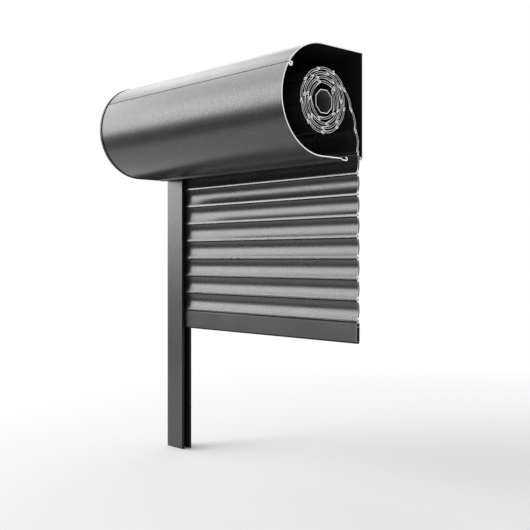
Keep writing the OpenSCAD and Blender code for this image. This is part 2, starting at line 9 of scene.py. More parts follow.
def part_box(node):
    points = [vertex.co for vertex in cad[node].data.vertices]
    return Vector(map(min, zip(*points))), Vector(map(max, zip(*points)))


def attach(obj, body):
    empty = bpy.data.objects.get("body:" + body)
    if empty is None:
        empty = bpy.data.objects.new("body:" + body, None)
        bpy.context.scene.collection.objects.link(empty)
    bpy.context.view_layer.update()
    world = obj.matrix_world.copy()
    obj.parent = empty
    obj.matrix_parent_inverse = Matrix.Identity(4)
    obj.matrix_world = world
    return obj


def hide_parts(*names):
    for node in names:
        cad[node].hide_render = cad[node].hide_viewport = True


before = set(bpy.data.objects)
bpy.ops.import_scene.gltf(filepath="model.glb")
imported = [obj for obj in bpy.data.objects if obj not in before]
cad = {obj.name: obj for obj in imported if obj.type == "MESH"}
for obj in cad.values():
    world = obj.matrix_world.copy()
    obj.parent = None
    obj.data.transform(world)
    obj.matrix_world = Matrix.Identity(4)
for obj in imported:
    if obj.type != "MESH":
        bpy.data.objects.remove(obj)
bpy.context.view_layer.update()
scene = bpy.context.scene
MM = 0.001


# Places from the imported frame, in millimetres; X runs along the shaft, Y to the rear, Z up

LOWEST, HIGHEST = 0, 1
X, Y, Z = 0, 1, 2


def side(node, end, axis):
    """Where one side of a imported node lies."""
    return round(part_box(node)[end][axis] / MM, 3)


RIGHT_X = side("front_cover", HIGHEST, X)
LEFT_X = side("front_cover", LOWEST, X)
TOP_Z = side("top_rear_panel", HIGHEST, Z)
REAR_Z = side("top_rear_panel", LOWEST, Z)
CAP_OUTER_X = side("end_cap", LOWEST, X)
BRACKET_FACE_X = side("motor_bracket", HIGHEST, X)
RAIL_FRONT_Y = side("guide_rail", LOWEST, Y)
RAIL_FOOT_Z = side("guide_rail", LOWEST, Z)
SLAT_X = side("top_slat", LOWEST, X)
SHAFT_Y = (side("roller_shaft", LOWEST, Y) + side("roller_shaft", HIGHEST, Y)) / 2


# Sizes in millimetres and angles in degrees; those of the solids are as in the part's source

# Casing: a half-round front between a flat top and a flat bottom
CASING_R = 96.0
SHEET_T = 2.0
ARC_Y = -102.5
ARC_Z = TOP_Z - CASING_R
ARC_C = (ARC_Y, ARC_Z)
BOTTOM_Z = ARC_Z - CASING_R

# Top and rear panel: the hem at its foot and the four holes for its fixing screws
HEM_W = 6.5
HEM_H = 5.0
FIXING_HOLE_R = 3.0
FIXING_HOLE_X = 200.0
FIXING_HOLE_Z = 72.5

# Front cover: a ramp down to its stiffened edge at the mouth, which curls up
MOUTH_W = 40.0
CURL_R = 3.4
CURL_END_A = 150.0
CURL_DROP = 2.5
RAMP_BEFORE = 13.0
RAMP_W = 4.0

# Hook joint: the panel's hollow bead, the cover's hook round it and the gap between their sheared edges
HOOK_A = 146.0
HOOK_DEPTH = 5.2
PANEL_BEAD_R = 3.0
PANEL_BEAD_BORE = 1.4
PANEL_BEAD_FROM = 57.5
PANEL_BEAD_TO = 372.7
PANEL_NECK_IN = 3.3
PANEL_NECK_OUT = 0.74
PANEL_EDGE = 0.1
PANEL_EDGE_A = 0.06
HOOK_IN = 3.3
HOOK_OUT = 4.8
HOOK_TIP_A = 270.0
HOOK_ROOT_A = 30.0
COVER_EDGE = 2.0
COVER_EDGE_OUT = 3.46

# End cap: its rim and the dark joint beside it are drawn as wide as they look, wider than in the solids
CAP_T = 4.0
RIM_W = 6.1
RIM_PROUD = 0.75
RIM_INSET = 2.6
RIM_LAP = 1.0
JOINT_W = 4.0
CAP_INNER_X = CAP_OUTER_X + CAP_T
RIM_RIGHT_X = CAP_OUTER_X + RIM_W
SHEET_SPAN = (RIM_RIGHT_X + JOINT_W, RIGHT_X)

# Curtain: hinge lines of the hanging, running and wound slats
PITCH = 37.0
HANGING = 7
CURTAIN_Y = -14.2
FEED_DROP = 78.5
FEED_LEANS = (10.0, 19.5, 31.0)
OPEN_PLAY = 0.8
SHAFT_FLAT = 20.0
FIRST_TURN = 5.6
ROLL_R = 56.4
ROLL_STEP = 7.0
# No hinge lies further in than this: the corners of the eight-sided shaft and the first turn's height
ROLL_INNER = SHAFT_FLAT / math.cos(math.pi / 8) + FIRST_TURN

# Fasteners, plugs and the cable's inlet
SCREW_IN = 7.0
SCREW_LINE_X = LEFT_X + SCREW_IN
PANEL_SCREW_YS = (-75.0, -25.0)
BRACKET_REACH = 30.0
PLUGS = 3
PLUG_FOOT = 71.0
PLUG_STEP = 220.0
CABLE_INLET = (-24.0, 60.0)


# Colours and nodes

def srgb(code):
    """Linear colour of an sRGB hex value."""
    parts = [int(code[i:i + 2], 16) / 255 for i in (1, 3, 5)]
    return [c / 12.92 if c <= 0.04045 else ((c + 0.055) / 1.055) ** 2.4 for c in parts] + [1.0]


def add(tree, kind, inputs=(), **settings):
    """Adds a node with its settings; each input is a value or the socket of another node."""
    node = tree.nodes.new(kind)
    for key, value in settings.items():
        setattr(node, key, value)
    for key, value in dict(inputs).items():
        if isinstance(value, bpy.types.NodeSocket):
            tree.links.new(value, node.inputs[key])
        else:
            node.inputs[key].default_value = value
    return node


def new_material(name):
    """An empty material with its tree, its output and the piece's own coordinates."""
    made = bpy.data.materials.new(name)
    made.use_nodes = True
    tree = made.node_tree
    tree.nodes.clear()
    out = add(tree, "ShaderNodeOutputMaterial")
    coord = add(tree, "ShaderNodeTexCoord").outputs["Object"]
    return made, tree, out, coord


def grains_per_metre(size_mm):
    """Texture scale for a grain of the given size."""
    return 1000.0 / size_mm


# Numbers of a Mix node's colour sockets, whose names its other kinds share
MIX_FACTOR, MIX_A, MIX_B, MIX_RESULT = 0, 6, 7, 2
# The range that a noise mostly keeps to
NOISE_LOW, NOISE_HIGH = 0.3, 0.7
# Size of the clouds in a skin's gloss, how far the gloss swings in them, and the full height of its relief
CLOUD_MM = 60.0
GLOSS_SWING = 0.02
SKIN_RELIEF_MM = 0.2
# Darkest streak of a bare metal, how far its roughness falls and rises, and the full depth of its marks
STREAK_DARK = 0.88
STREAK_SMOOTH, STREAK_ROUGH = 0.06, 0.08
MARK_DEPTH_MM = 0.1


def skin_finish(name, code, rough, grain_mm, peel, fleck, flake=0.0, shine=0.5):
    """A sprayed, baked or moulded skin: one colour with a fine fleck, uneven gloss and a slight relief."""
    made, tree, out, coord = new_material(name)
    fine = add(tree, "ShaderNodeTexNoise", {
        "Vector": coord, "Scale": grains_per_metre(grain_mm), "Detail": 2.0}).outputs["Fac"]
    cloud = add(tree, "ShaderNodeTexNoise", {
        "Vector": coord, "Scale": grains_per_metre(CLOUD_MM), "Detail": 3.0}).outputs["Fac"]
    flecks = add(tree, "ShaderNodeMapRange", {
        "Value": fine, "From Min": NOISE_LOW, "From Max": NOISE_HIGH,
        "To Min": 1.0 - fleck, "To Max": 1.0 + fleck})
    colour = add(tree, "ShaderNodeMix", {
        MIX_FACTOR: 1.0, MIX_A: srgb(code), MIX_B: flecks.outputs["Result"]},
        data_type="RGBA", blend_type="MULTIPLY")
    gloss = add(tree, "ShaderNodeMapRange", {
        "Value": cloud, "From Min": NOISE_LOW, "From Max": NOISE_HIGH,
        "To Min": rough - GLOSS_SWING, "To Max": rough + GLOSS_SWING})
    relief = add(tree, "ShaderNodeBump", {
        "Height": fine, "Strength": peel, "Distance": SKIN_RELIEF_MM * MM})
    skin = add(tree, "ShaderNodeBsdfPrincipled", {
        "Base Color": colour.outputs[MIX_RESULT], "Roughness": gloss.outputs["Result"],
        "Metallic": flake, "Specular IOR Level": shine, "Normal": relief.outputs["Normal"]})
    tree.links.new(skin.outputs["BSDF"], out.inputs["Surface"])
    return made


def bare_metal(name, code, rough, streak_mm, stretch, depth):
    """Uncoated metal with the marks of its last working, by saw, brush or rolls, along one direction."""
    made, tree, out, coord = new_material(name)
    along = add(tree, "ShaderNodeMapping", {"Vector": coord, "Scale": stretch}).outputs["Vector"]
    streak = add(tree, "ShaderNodeTexNoise", {
        "Vector": along, "Scale": grains_per_metre(streak_mm), "Detail": 3.0}).outputs["Fac"]
    streaks = add(tree, "ShaderNodeMapRange", {
        "Value": streak, "From Min": NOISE_LOW, "From Max": NOISE_HIGH,
        "To Min": STREAK_DARK, "To Max": 1.0})
    colour = add(tree, "ShaderNodeMix", {
        MIX_FACTOR: 1.0, MIX_A: srgb(code), MIX_B: streaks.outputs["Result"]},
        data_type="RGBA", blend_type="MULTIPLY")
    gloss = add(tree, "ShaderNodeMapRange", {
        "Value": streak, "From Min": NOISE_LOW, "From Max": NOISE_HIGH,
        "To Min": rough - STREAK_SMOOTH, "To Max": rough + STREAK_ROUGH})
    marks = add(tree, "ShaderNodeBump", {
        "Height": streak, "Strength": depth, "Distance": MARK_DEPTH_MM * MM})
    metal = add(tree, "ShaderNodeBsdfPrincipled", {
        "Base Color": colour.outputs[MIX_RESULT], "Roughness": gloss.outputs["Result"],
        "Normal": marks.outputs["Normal"], "Metallic": 1.0})
    tree.links.new(metal.outputs["BSDF"], out.inputs["Surface"])
    return made


# Finishes; the grains of coats and the marks on metals are drawn coarser than real ones, so that they show

# Metallic powder coat on aluminium sheet: dark grey with fine flakes, satin
CASING_COAT = skin_finish("metallic_powder_coat", "#505050", rough=0.31, grain_mm=2.4, peel=0.12,
                          fleck=0.25, flake=0.8)
# The same powder on drawn profiles, where it cures with a duller face
PROFILE_COAT = skin_finish("metallic_powder_coat_dull", "#505050", rough=0.34, grain_mm=2.4, peel=0.12,
                           fleck=0.25, flake=0.8)
# The same powder on the cast cap, whose skin is rougher and looks paler
CAST_COAT = skin_finish("metallic_powder_coat_on_casting", "#585858", rough=0.48, grain_mm=2.4, peel=0.16,
                        fleck=0.25, flake=0.7)
# Stove enamel on roll-formed slats: smoother than the powder, and as dark
SLAT_COAT = skin_finish("stove_enamel", "#505050", rough=0.28, grain_mm=2.4, peel=0.06,
                        fleck=0.18, flake=0.8)
# The same enamel on the slats' lips, paler: a painted highlight along each lip
LIP_PAINTED_HIGHLIGHT = skin_finish("stove_enamel_painted_highlight", "#707070", rough=0.28, grain_mm=2.4, peel=0.06,
                         fleck=0.12, flake=0.85)
# Near-black finish inside the slats, the rail and the cap, which takes hardly any light: painted shade
PAINTED_SHADE_DARK = skin_finish("painted_shade_dark", "#161617", rough=0.60, grain_mm=1.2, peel=0.10,
                          fleck=0.08, shine=0.2)
# Thin coat on the inside of the casing sheets: near black as painted shade, with enough gloss for a faint
# sheen
INNER_COAT_WITH_PAINTED_SHADE = skin_finish("inner_coat_with_painted_shade", "#242425", rough=0.40, grain_mm=2.4, peel=0.10,
                         fleck=0.15, flake=0.3)
# Machine paint on the motor's tube: plain mid grey
MOTOR_PAINT = skin_finish("grey_machine_paint", "#7d8082", rough=0.45, grain_mm=0.8, peel=0.06, fleck=0.05)
# Moulded black plastic with a faint spark-eroded grain
BLACK_PLASTIC = skin_finish("moulded_black_plastic", "#1b1b1c", rough=0.52, grain_mm=0.8, peel=0.20,
                            fleck=0.06)
# Extruded rubber: deep black and dull
BLACK_RUBBER = skin_finish("extruded_black_rubber", "#101010", rough=0.72, grain_mm=0.8, peel=0.25,
                           fleck=0.08, shine=0.2)
# Zinc in the shaft's bore as a dull, matt, darker grey: painted shade inside the bore
ZINC_PAINTED_SHADE = skin_finish("zinc_painted_shade", "#585a5c", rough=0.65, grain_mm=1.6, peel=0.10, fleck=0.10)
# Marks of saw and brush lie level on a cut end, those of rolling run along the shaft
LEVEL = (1.0, 1.0, 6.0)
LENGTHWISE = (0.05, 1.0, 1.0)
# Sawn aluminium at the cut ends: bright, with saw marks across the section
CUT_ALUMINIUM = bare_metal("sawn_aluminium", "#f2f3f4", rough=0.34, streak_mm=0.8, stretch=LEVEL,
                           depth=0.15)
# Sawn aluminium that has been brushed over, as on the bar's end: greyer and duller
BRUSHED_END = bare_metal("brushed_aluminium", "#9c9d9e", rough=0.45, streak_mm=0.8, stretch=LEVEL,
                         depth=0.12)
# Zinc-plated steel: pale and slightly bluish, with faint rolling marks
ZINC_STEEL = bare_metal("zinc_plated_steel", "#b4b7ba", rough=0.36, streak_mm=2.0, stretch=LENGTHWISE,
                        depth=0.05)
# Sawn steel at the shaft's end: bright and even
CUT_STEEL = bare_metal("sawn_steel", "#e9eaeb", rough=0.32, streak_mm=0.8, stretch=LEVEL, depth=0.12)


# Shapes across the shaft, as points of (Y, Z) in millimetres

def polar(r, degrees):
    """The point at a radius and an angle."""
    return (r * math.cos(math.radians(degrees)), r * math.sin(math.radians(degrees)))


def arc(r, a0, a1, n, centre=(0.0, 0.0)):
    """Points of an arc from one angle to another, in n steps."""
    spokes = [polar(r, a0 + (a1 - a0) * i / n) for i in range(n + 1)]
    return [(centre[0] + y, centre[1] + z) for y, z in spokes]


def bow_y(p, q, middle, t):
    """Y of a shallow bow from p to q at a share t of its way; half way it is at the given middle."""
    return p[0] + (q[0] - p[0]) * t + 4 * t * (1 - t) * (middle - (p[0] + q[0]) / 2)


def bow(p, q, middle, n):
    """Points of a shallow bow, in n steps."""
    return [(bow_y(p, q, middle, i / n), p[1] + (q[1] - p[1]) * i / n) for i in range(n + 1)]


def face_y(p, q, middle, z):
    """Y of a shallow bow at a height."""
    return bow_y(p, q, middle, (z - p[1]) / (q[1] - p[1]))


def half_width(half, r):
    """Angle that half a width takes up at a radius."""
    return math.degrees(math.asin(half / r))


# Meshes

# Faces marked INSIDE get a dark finish painted in as shade, faces marked LIP a painted highlight
COAT, CUT, INSIDE, LIP = 0, 1, 2, 3
# Edges turn sharp and get a radius above these angles; faces flatter than the third are merged
SHARP_A = 28.0
BEVEL_A = 40.0
FLAT_A = 0.5
MERGE_MM = 0.002
# A sawn face lies this near the right end, and looks right by more than this share
SAWN_NEAR_MM = 0.05
SAWN_FACING = 0.9


def shaded(data):
    """Makes a mesh smooth over its curves and sharp at its edges."""
    data.shade_smooth()
    data.set_sharp_from_angle(angle=math.radians(SHARP_A))
    return data


def to_piece(name, mesh, materials):
    """Turns a built mesh into a piece with its materials."""
    data = bpy.data.meshes.new(name)
    mesh.to_mesh(data)
    mesh.free()
    for material in materials:
        data.materials.append(material)
    made = bpy.data.objects.new(name, shaded(data))
    scene.collection.objects.link(made)
    return made


def set_on(piece, body, slot, *nodes):
    """Puts a finished piece on its body, in the place of the solids that it stands for."""
    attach(piece, body)
    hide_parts(*nodes)


def drawn(loops, span, unit=MM):
    """A section drawn along X; a loop is a row of runs, each a finish and its points, the outline first."""
    mesh = bmesh.new()
    full = [[p for _, run in loop for p in run] for loop in loops]
    marks = [[finish for finish, run in loop for _ in run] for loop in loops]
    rings = [[[mesh.verts.new((x * unit, y * MM, z * MM)) for y, z in loop] for loop in full] for x in span]
    for row_marks, one, two in zip(marks, rings[0], rings[1]):
        for i, mark in enumerate(row_marks):
            j = (i + 1) % len(one)
            mesh.faces.new((one[i], one[j], two[j], two[i])).material_index = mark
    flat = [[Vector((y, z, 0.0)) for y, z in loop] for loop in full]
    for ring in rings:
        corners = [v for loop in ring for v in loop]
        for tri in geometry.tessellate_polygon(flat):
            mesh.faces.new([corners[i] for i in tri]).material_index = CUT
    bmesh.ops.recalc_face_normals(mesh, faces=mesh.faces[:])
    return mesh


def extrusion(name, loops, span, materials, unit=MM):
    """A piece drawn along X."""
    return to_piece(name, drawn(loops, span, unit), materials)


def baked(piece):
    """Puts the result of a piece's modifiers into its plain mesh."""
    bpy.context.view_layer.update()
    data = bpy.data.meshes.new_from_object(piece.evaluated_get(bpy.context.evaluated_depsgraph_get()))
    piece.modifiers.clear()
    piece.data = data
    return piece


def combined(piece, mesh, operation):
    """Takes a built shape away from a piece, or joins it on."""
    other = to_piece("other", mesh, ())
    change = piece.modifiers.new("change", "BOOLEAN")
    change.operation = operation
    change.object = other
    change.solver = "EXACT"
    shaded(baked(piece).data)
    bpy.data.objects.remove(other)
    return piece


def drilled(piece, holes, r):
    """Cuts round holes along Y through the sheet at each place, in millimetres."""
    mesh = bmesh.new()
    for place in holes:
        turn = Matrix.Translation(Vector(place) * MM) @ Matrix.Rotation(math.pi / 2, 4, "X")
        bmesh.ops.create_cone(mesh, cap_ends=True, segments=32, radius1=r * MM, radius2=r * MM,
                              depth=4 * SHEET_T * MM, matrix=turn)
    return combined(piece, mesh, "DIFFERENCE")


def solid_copy(node, coat, edge_mm, cut=None, inside=None, painted_shade_finish=PAINTED_SHADE_DARK, rim=None):
    """A merged copy of a solid with small edge radii, and a rim joined on where one is given.

    Sawn faces at the right end get the cut finish, and those that inside picks get a dark finish, painted
    shade.
    """
    mesh = bmesh.new()
    mesh.from_mesh(cad[node].data)
    bmesh.ops.remove_doubles(mesh, verts=mesh.verts[:], dist=MERGE_MM * MM)
    bmesh.ops.dissolve_limit(mesh, angle_limit=math.radians(FLAT_A), verts=mesh.verts[:],
                             edges=mesh.edges[:])
    made = to_piece(node + "_finish", mesh, (coat, cut or CUT_ALUMINIUM, painted_shade_finish))
    if rim:
        combined(made, rim, "UNION")
    for face in made.data.polygons:
        middle = face.center / MM
        face.material_index = COAT
        if cut and middle.x > RIGHT_X - SAWN_NEAR_MM and face.normal.x > SAWN_FACING:
            face.material_index = CUT
        elif inside and inside(middle):
            face.material_index = INSIDE
    edge = made.modifiers.new("edges", "BEVEL")
    edge.width = edge_mm * MM
    edge.segments = 2
    edge.limit_method = "ANGLE"
    edge.angle_limit = math.radians(BEVEL_A)
    edge.harden_normals = True
    return baked(made)


# Sections of the casing

def on_hook(out, down):
    """A point near the hook joint, from its centre outwards and down along the arc."""
    c, s = polar(1.0, HOOK_A)
    r = CASING_R - HOOK_DEPTH + out
    return (ARC_Y + r * c - down * s, ARC_Z + r * s + down * c)


HOOK_C = on_hook(0.0, 0.0)
SHEET_INSIDE_R = CASING_R - SHEET_T
# The sheets' inner face, seen from the hook joint's centre
INSIDE_OUT = HOOK_DEPTH - SHEET_T


def panel_section():
    """Top and rear panel: hem, flat back, flat top and upper arc, ending in the bead for the cover."""
    neck = half_width(PANEL_NECK_IN, SHEET_INSIDE_R)
    bead = arc(PANEL_BEAD_R, HOOK_A - PANEL_BEAD_FROM, HOOK_A - PANEL_BEAD_TO, 28, HOOK_C)
    bead += [on_hook(INSIDE_OUT, -PANEL_NECK_OUT)]
    sheared = [on_hook(INSIDE_OUT, -PANEL_EDGE)]
    outer = arc(CASING_R, HOOK_A - PANEL_EDGE_A, 90.0, 36, ARC_C)
    outer += [(0.0, TOP_Z), (0.0, REAR_Z), (-HEM_W, REAR_Z)]
    outer += [(-HEM_W, REAR_Z + HEM_H), (SHEET_T - HEM_W, REAR_Z + HEM_H)]
    inside = [(SHEET_T - HEM_W, REAR_Z + SHEET_T), (-SHEET_T, REAR_Z + SHEET_T)]
    inside += [(-SHEET_T, TOP_Z - SHEET_T)]
    inside += arc(SHEET_INSIDE_R, 90.0, HOOK_A - neck, 36, ARC_C)
    bore = arc(PANEL_BEAD_BORE, 0.0, 360.0, 20, HOOK_C)[:-1]
    return [[(COAT, bead), (CUT, sheared), (COAT, outer), (INSIDE, inside)], [(INSIDE, bore)]]


def cover_section():
    """Front cover: hook round the bead, front and lower arc, flat bottom and curled edge at the mouth."""
    low = BOTTOM_Z - CURL_DROP
    curl = (-MOUTH_W - CURL_R, low + CURL_R)
    ramp = curl[0] - RAMP_BEFORE
    start = HOOK_A + half_width(COVER_EDGE, CASING_R)
    meet = math.sqrt(HOOK_OUT ** 2 - INSIDE_OUT ** 2)
    meet_a = math.degrees(math.atan2(meet, INSIDE_OUT))
    outer = arc(CASING_R, start, 270.0, 80, ARC_C)
    outer += [(ramp, BOTTOM_Z), (ramp + RAMP_W, low), (curl[0], low)]
    outer += arc(CURL_R, -90.0, CURL_END_A, 20, curl)[1:]
    outer += arc(CURL_R - SHEET_T, CURL_END_A, -90.0, 16, curl)
    inside = [(ramp + RAMP_W, low + SHEET_T), (ramp, BOTTOM_Z + SHEET_T)]
    inside += arc(SHEET_INSIDE_R, 270.0, HOOK_A + half_width(meet, SHEET_INSIDE_R), 80, ARC_C)
    hook = arc(HOOK_OUT, HOOK_A + meet_a, HOOK_A + HOOK_TIP_A, 20, HOOK_C)[1:]
    hook += arc(HOOK_IN, HOOK_A + HOOK_TIP_A, HOOK_A + HOOK_ROOT_A, 20, HOOK_C)
    sheared = [on_hook(COVER_EDGE_OUT, COVER_EDGE)]
    return [[(COAT, hook), (CUT, sheared), (COAT, outer), (INSIDE, inside)]]


def cap_rim():
    """The part of the end cap's rim that reaches from its plate towards the sheets."""
    outer = arc(CASING_R + RIM_PROUD, 90.0, 270.0, 96, ARC_C)
    outer += [(0.0, BOTTOM_Z - RIM_PROUD), (0.0, TOP_Z + RIM_PROUD)]
    inner = arc(CASING_R - RIM_INSET, 90.0, 270.0, 96, ARC_C)
    inner += [(-RIM_INSET, BOTTOM_Z + RIM_INSET), (-RIM_INSET, TOP_Z - RIM_INSET)]
    return drawn([[(COAT, outer)], [(INSIDE, inner)]], (CAP_INNER_X - RIM_LAP, RIM_RIGHT_X))


# The slat's section: its hinge at the origin, the next hinge a pitch lower, the rear side towards +Y

# A hollow bead on a link, held by a hooked neck, hangs in the socket of the slat above
BEAD_R = 1.4
BEAD_BORE = 0.95
LINK_A = 78.0
LINK_HALF = 0.5
LINK_STUB = 0.4
NECK_IN = 2.8
NECK_OUT = 3.5
FRONT_A = 250.0
BACK_A = -42.0
# Two bowed skins run down from the neck, the front one to the socket for the next slat's bead
FRONT_BOW = 1.9
BACK_BOW = 5.8
SKIN = 0.5
UNDERSIDE = 4.1
SOCKET_IN = 1.75
SOCKET_OUT = 2.45
SOCKET_FRONT_A = 150.0
SOCKET_BACK_A = 325.0
SOCKET_TRIM_A = 8.0
# The chamber's wall is drawn a little stronger than rolled sheet, so that a cut end shows it
WALL = 0.6
CHAMBER_DROP = 1.7
# The lip's front is fuller than its socket and ends in a narrow flat with a painted highlight
LIP_R = 7.0
LIP_A = 155.0
LIP_END_A = 209.3
LIP_HIGH = 0.8
LIP_LOW = -1.2
LIP_LEAN = 0.04
# The coat starts just below the joint; the face above it is painted dark as the joint's shade
COAT_TOP = -3.5
NEXT_HINGE = (0.0, -PITCH)
LIP_C = (LIP_R - SOCKET_OUT, LIP_HIGH - PITCH)
FRONT_TOP = polar(NECK_IN, FRONT_A)
SOCKET_FRONT = polar(SOCKET_OUT, SOCKET_FRONT_A)
FRONT_END = (SOCKET_FRONT[0], SOCKET_FRONT[1] - PITCH)
BACK_TOP = polar(NECK_OUT, BACK_A)
BACK_END = (BACK_TOP[0], UNDERSIDE - PITCH)


def hook_inside(bead):
    """From the bead, or the bare end of the link, round the inside of the neck to the front face."""
    if bead:
        wide = half_width(LINK_HALF, BEAD_R)
        tip = arc(BEAD_R, LINK_A + wide, LINK_A + 360.0 - wide, 22)
    else:
        end, across = polar(LINK_STUB, LINK_A), polar(LINK_HALF, LINK_A + 90.0)
        tip = [(end[0] + across[0], end[1] + across[1]), (end[0] - across[0], end[1] - across[1])]
    return tip + arc(NECK_IN, LINK_A - half_width(LINK_HALF, NECK_IN), FRONT_A - 360.0, 18)


def hook_outside():
    """Round the outside of the neck from the back face to the link."""
    return arc(NECK_OUT, BACK_A, LINK_A + half_width(LINK_HALF, NECK_OUT), 14)


def slat_section(bead):
    """Outline and chamber of a slat, and the bore of its bead where it has one."""
    lip = arc(LIP_R, LIP_A, 180.0, 8, LIP_C)
    front = [(face_y(FRONT_TOP, lip[0], FRONT_BOW, COAT_TOP), COAT_TOP)]
    front += bow(FRONT_TOP, lip[0], FRONT_BOW, 20)[1:-1] + lip[:-1]
    socket = [(LIP_LEAN - SOCKET_OUT, LIP_LOW - PITCH)]
    socket += arc(SOCKET_OUT, LIP_END_A, SOCKET_BACK_A, 14, NEXT_HINGE)
    socket += arc(SOCKET_IN, SOCKET_BACK_A, SOCKET_FRONT_A - SOCKET_TRIM_A, 16, NEXT_HINGE)
    socket += [(face_y(FRONT_TOP, FRONT_END, FRONT_BOW, BACK_END[1]) + SKIN, BACK_END[1])]
    back = bow(BACK_END, BACK_TOP, BACK_BOW, 20)[:-1]
    hook = hook_outside() + hook_inside(bead)
    high, low, n = -NECK_IN - CHAMBER_DROP, BACK_END[1] + WALL, 16
    heights = [high + (low - high) * i / n for i in range(n + 1)]
    chamber = [(face_y(FRONT_TOP, FRONT_END, FRONT_BOW, z) + WALL, z) for z in heights]
    chamber += [(face_y(BACK_END, BACK_TOP, BACK_BOW, z) - WALL, z) for z in reversed(heights)]
    # Runs marked INSIDE are painted dark as shade, and the lip's flat is painted as a highlight
    outline = [(COAT, front), (LIP, lip[-1:]), (INSIDE, socket), (COAT, back), (INSIDE, hook)]
    loops = [outline, [(INSIDE, chamber)]]
    if bead:
        loops.append([(INSIDE, arc(BEAD_BORE, 0.0, 360.0, 12)[:-1])])
    return loops


# Hinge lines of the running and wound slats, from the shaft's axis

def halved(low, high, too_low):
    """The place between low and high where the test changes, found by halving."""
    for _ in range(40):
        middle = (low + high) / 2
        low, high = (middle, high) if too_low(middle) else (low, middle)
    return (low + high) / 2


def feed_line(scale):
    """The three running slats' hinges, from the roll down to the first hanging slat, their leans scaled."""
    points = [(CURTAIN_Y - SHAFT_Y, OPEN_PLAY - FEED_DROP)]
    for lean in FEED_LEANS:
        y, z = polar(PITCH, 90.0 + scale * lean)
        points.insert(0, (points[0][0] + y, points[0][1] + z))
    return points


# The leans are scaled, between these limits, until the uppermost hinge lies on the roll
LEAN_SCALES = (0.4, 2.0)
FEED = feed_line(halved(*LEAN_SCALES, lambda k: math.hypot(*feed_line(k)[0]) > ROLL_R))
FEED_A = math.degrees(math.atan2(FEED[0][1], FEED[0][0]))
# No slat on the roll takes up a wider angle than this
WIDEST_TURN = 150.0


def spiral_r(t):
    """Radius of the roll's spiral, which steps inwards with each turn."""
    return ROLL_R - ROLL_STEP * t / 360.0


def on_roll(t):
    """The point of the spiral at an angle from its outer end."""
    return polar(spiral_r(t), FEED_A + t)


def wound_line():
    """Hinges on the roll from its outer end inwards, each one pitch from the last."""
    points, t = [on_roll(0.0)], 0.0
    while True:
        here = points[-1]
        t = halved(t, t + WIDEST_TURN, lambda u: math.dist(on_roll(u), here) < PITCH)
        if spiral_r(t) < ROLL_INNER:
            return points
        points.append(on_roll(t))


def chord_turn(p, q):
    """Turn of a slat about X whose hinges are at p and q."""
    return math.atan2(q[1] - p[1], q[0] - p[0]) + math.pi / 2


# Rows of slats, screws and plugs

def rows_tree():
    """A tree that sets a piece on each place at its turn, and gives its marked faces their finishes."""
    tree = bpy.data.node_groups.new("rows_on_places", "GeometryNodeTree")
    face = tree.interface
    face.new_socket("Places", in_out="INPUT", socket_type="NodeSocketGeometry")
    for name, kind in (("Piece", "Object"), ("Offset", "Vector"), ("Stretch", "Vector"),
                       ("Coat", "Material"), ("Cut end", "Material"), ("Inside", "Material"),
                       ("Lip", "Material")):
        face.new_socket(name, in_out="INPUT", socket_type="NodeSocket" + kind)
    face.new_socket("Rows", in_out="OUTPUT", socket_type="NodeSocketGeometry")
    given = add(tree, "NodeGroupInput").outputs
    piece = add(tree, "GeometryNodeObjectInfo", {"Object": given["Piece"]})
    turn = add(tree, "GeometryNodeInputNamedAttribute", {"Name": "turn"}, data_type="FLOAT_VECTOR")
    moved = add(tree, "GeometryNodeSetPosition", {"Geometry": given["Places"], "Offset": given["Offset"]})
    rows = add(tree, "GeometryNodeInstanceOnPoints", {
        "Points": moved.outputs["Geometry"], "Instance": piece.outputs["Geometry"],
        "Rotation": turn.outputs["Attribute"], "Scale": given["Stretch"]})
    shape = add(tree, "GeometryNodeRealizeInstances", {"Geometry": rows.outputs["Instances"]})
    shape = add(tree, "GeometryNodeSetMaterial", {
        "Geometry": shape.outputs["Geometry"], "Material": given["Coat"]})
    # Marked faces get the cut finish, the painted shade and the painted lip highlight
    for mark, finish in (("end_face", "Cut end"), ("inside_face", "Inside"), ("lip_face", "Lip")):
        marked = add(tree, "GeometryNodeInputNamedAttribute", {"Name": mark}, data_type="BOOLEAN")
        shape = add(tree, "GeometryNodeSetMaterial", {
            "Geometry": shape.outputs["Geometry"], "Selection": marked.outputs["Attribute"],
            "Material": given[finish]})
    add(tree, "NodeGroupOutput", {"Rows": shape.outputs["Geometry"]})
    return tree


ROWS = rows_tree()


def row(name, piece, places, turns, coat, offset=(0.0, 0.0, 0.0), stretch=(1.0, 1.0, 1.0)):
    """One plain mesh with a copy of the piece on each place, in millimetres, at its turn."""
    points = bpy.data.meshes.new(name)
    points.from_pydata([Vector(p) * MM for p in places], [], [])
    turn = points.attributes.new("turn", "FLOAT_VECTOR", "POINT")
    turn.data.foreach_set("vector", [a for t in turns for a in t])
    made = bpy.data.objects.new(name, points)
    scene.collection.objects.link(made)
    rows = made.modifiers.new("rows", "NODES")
    rows.node_group = ROWS
    sockets = {s.name: s.identifier for s in ROWS.interface.items_tree if s.in_out == "INPUT"}
    # The hollows take the painted shade, the lips the painted highlight
    for key, value in (("Piece", piece), ("Offset", offset), ("Stretch", stretch), ("Coat", coat),
                       ("Cut end", CUT_ALUMINIUM), ("Inside", PAINTED_SHADE_DARK), ("Lip", LIP_PAINTED_HIGHLIGHT)):
        rows[sockets[key]] = value
    made.update_tag()
    return baked(made)


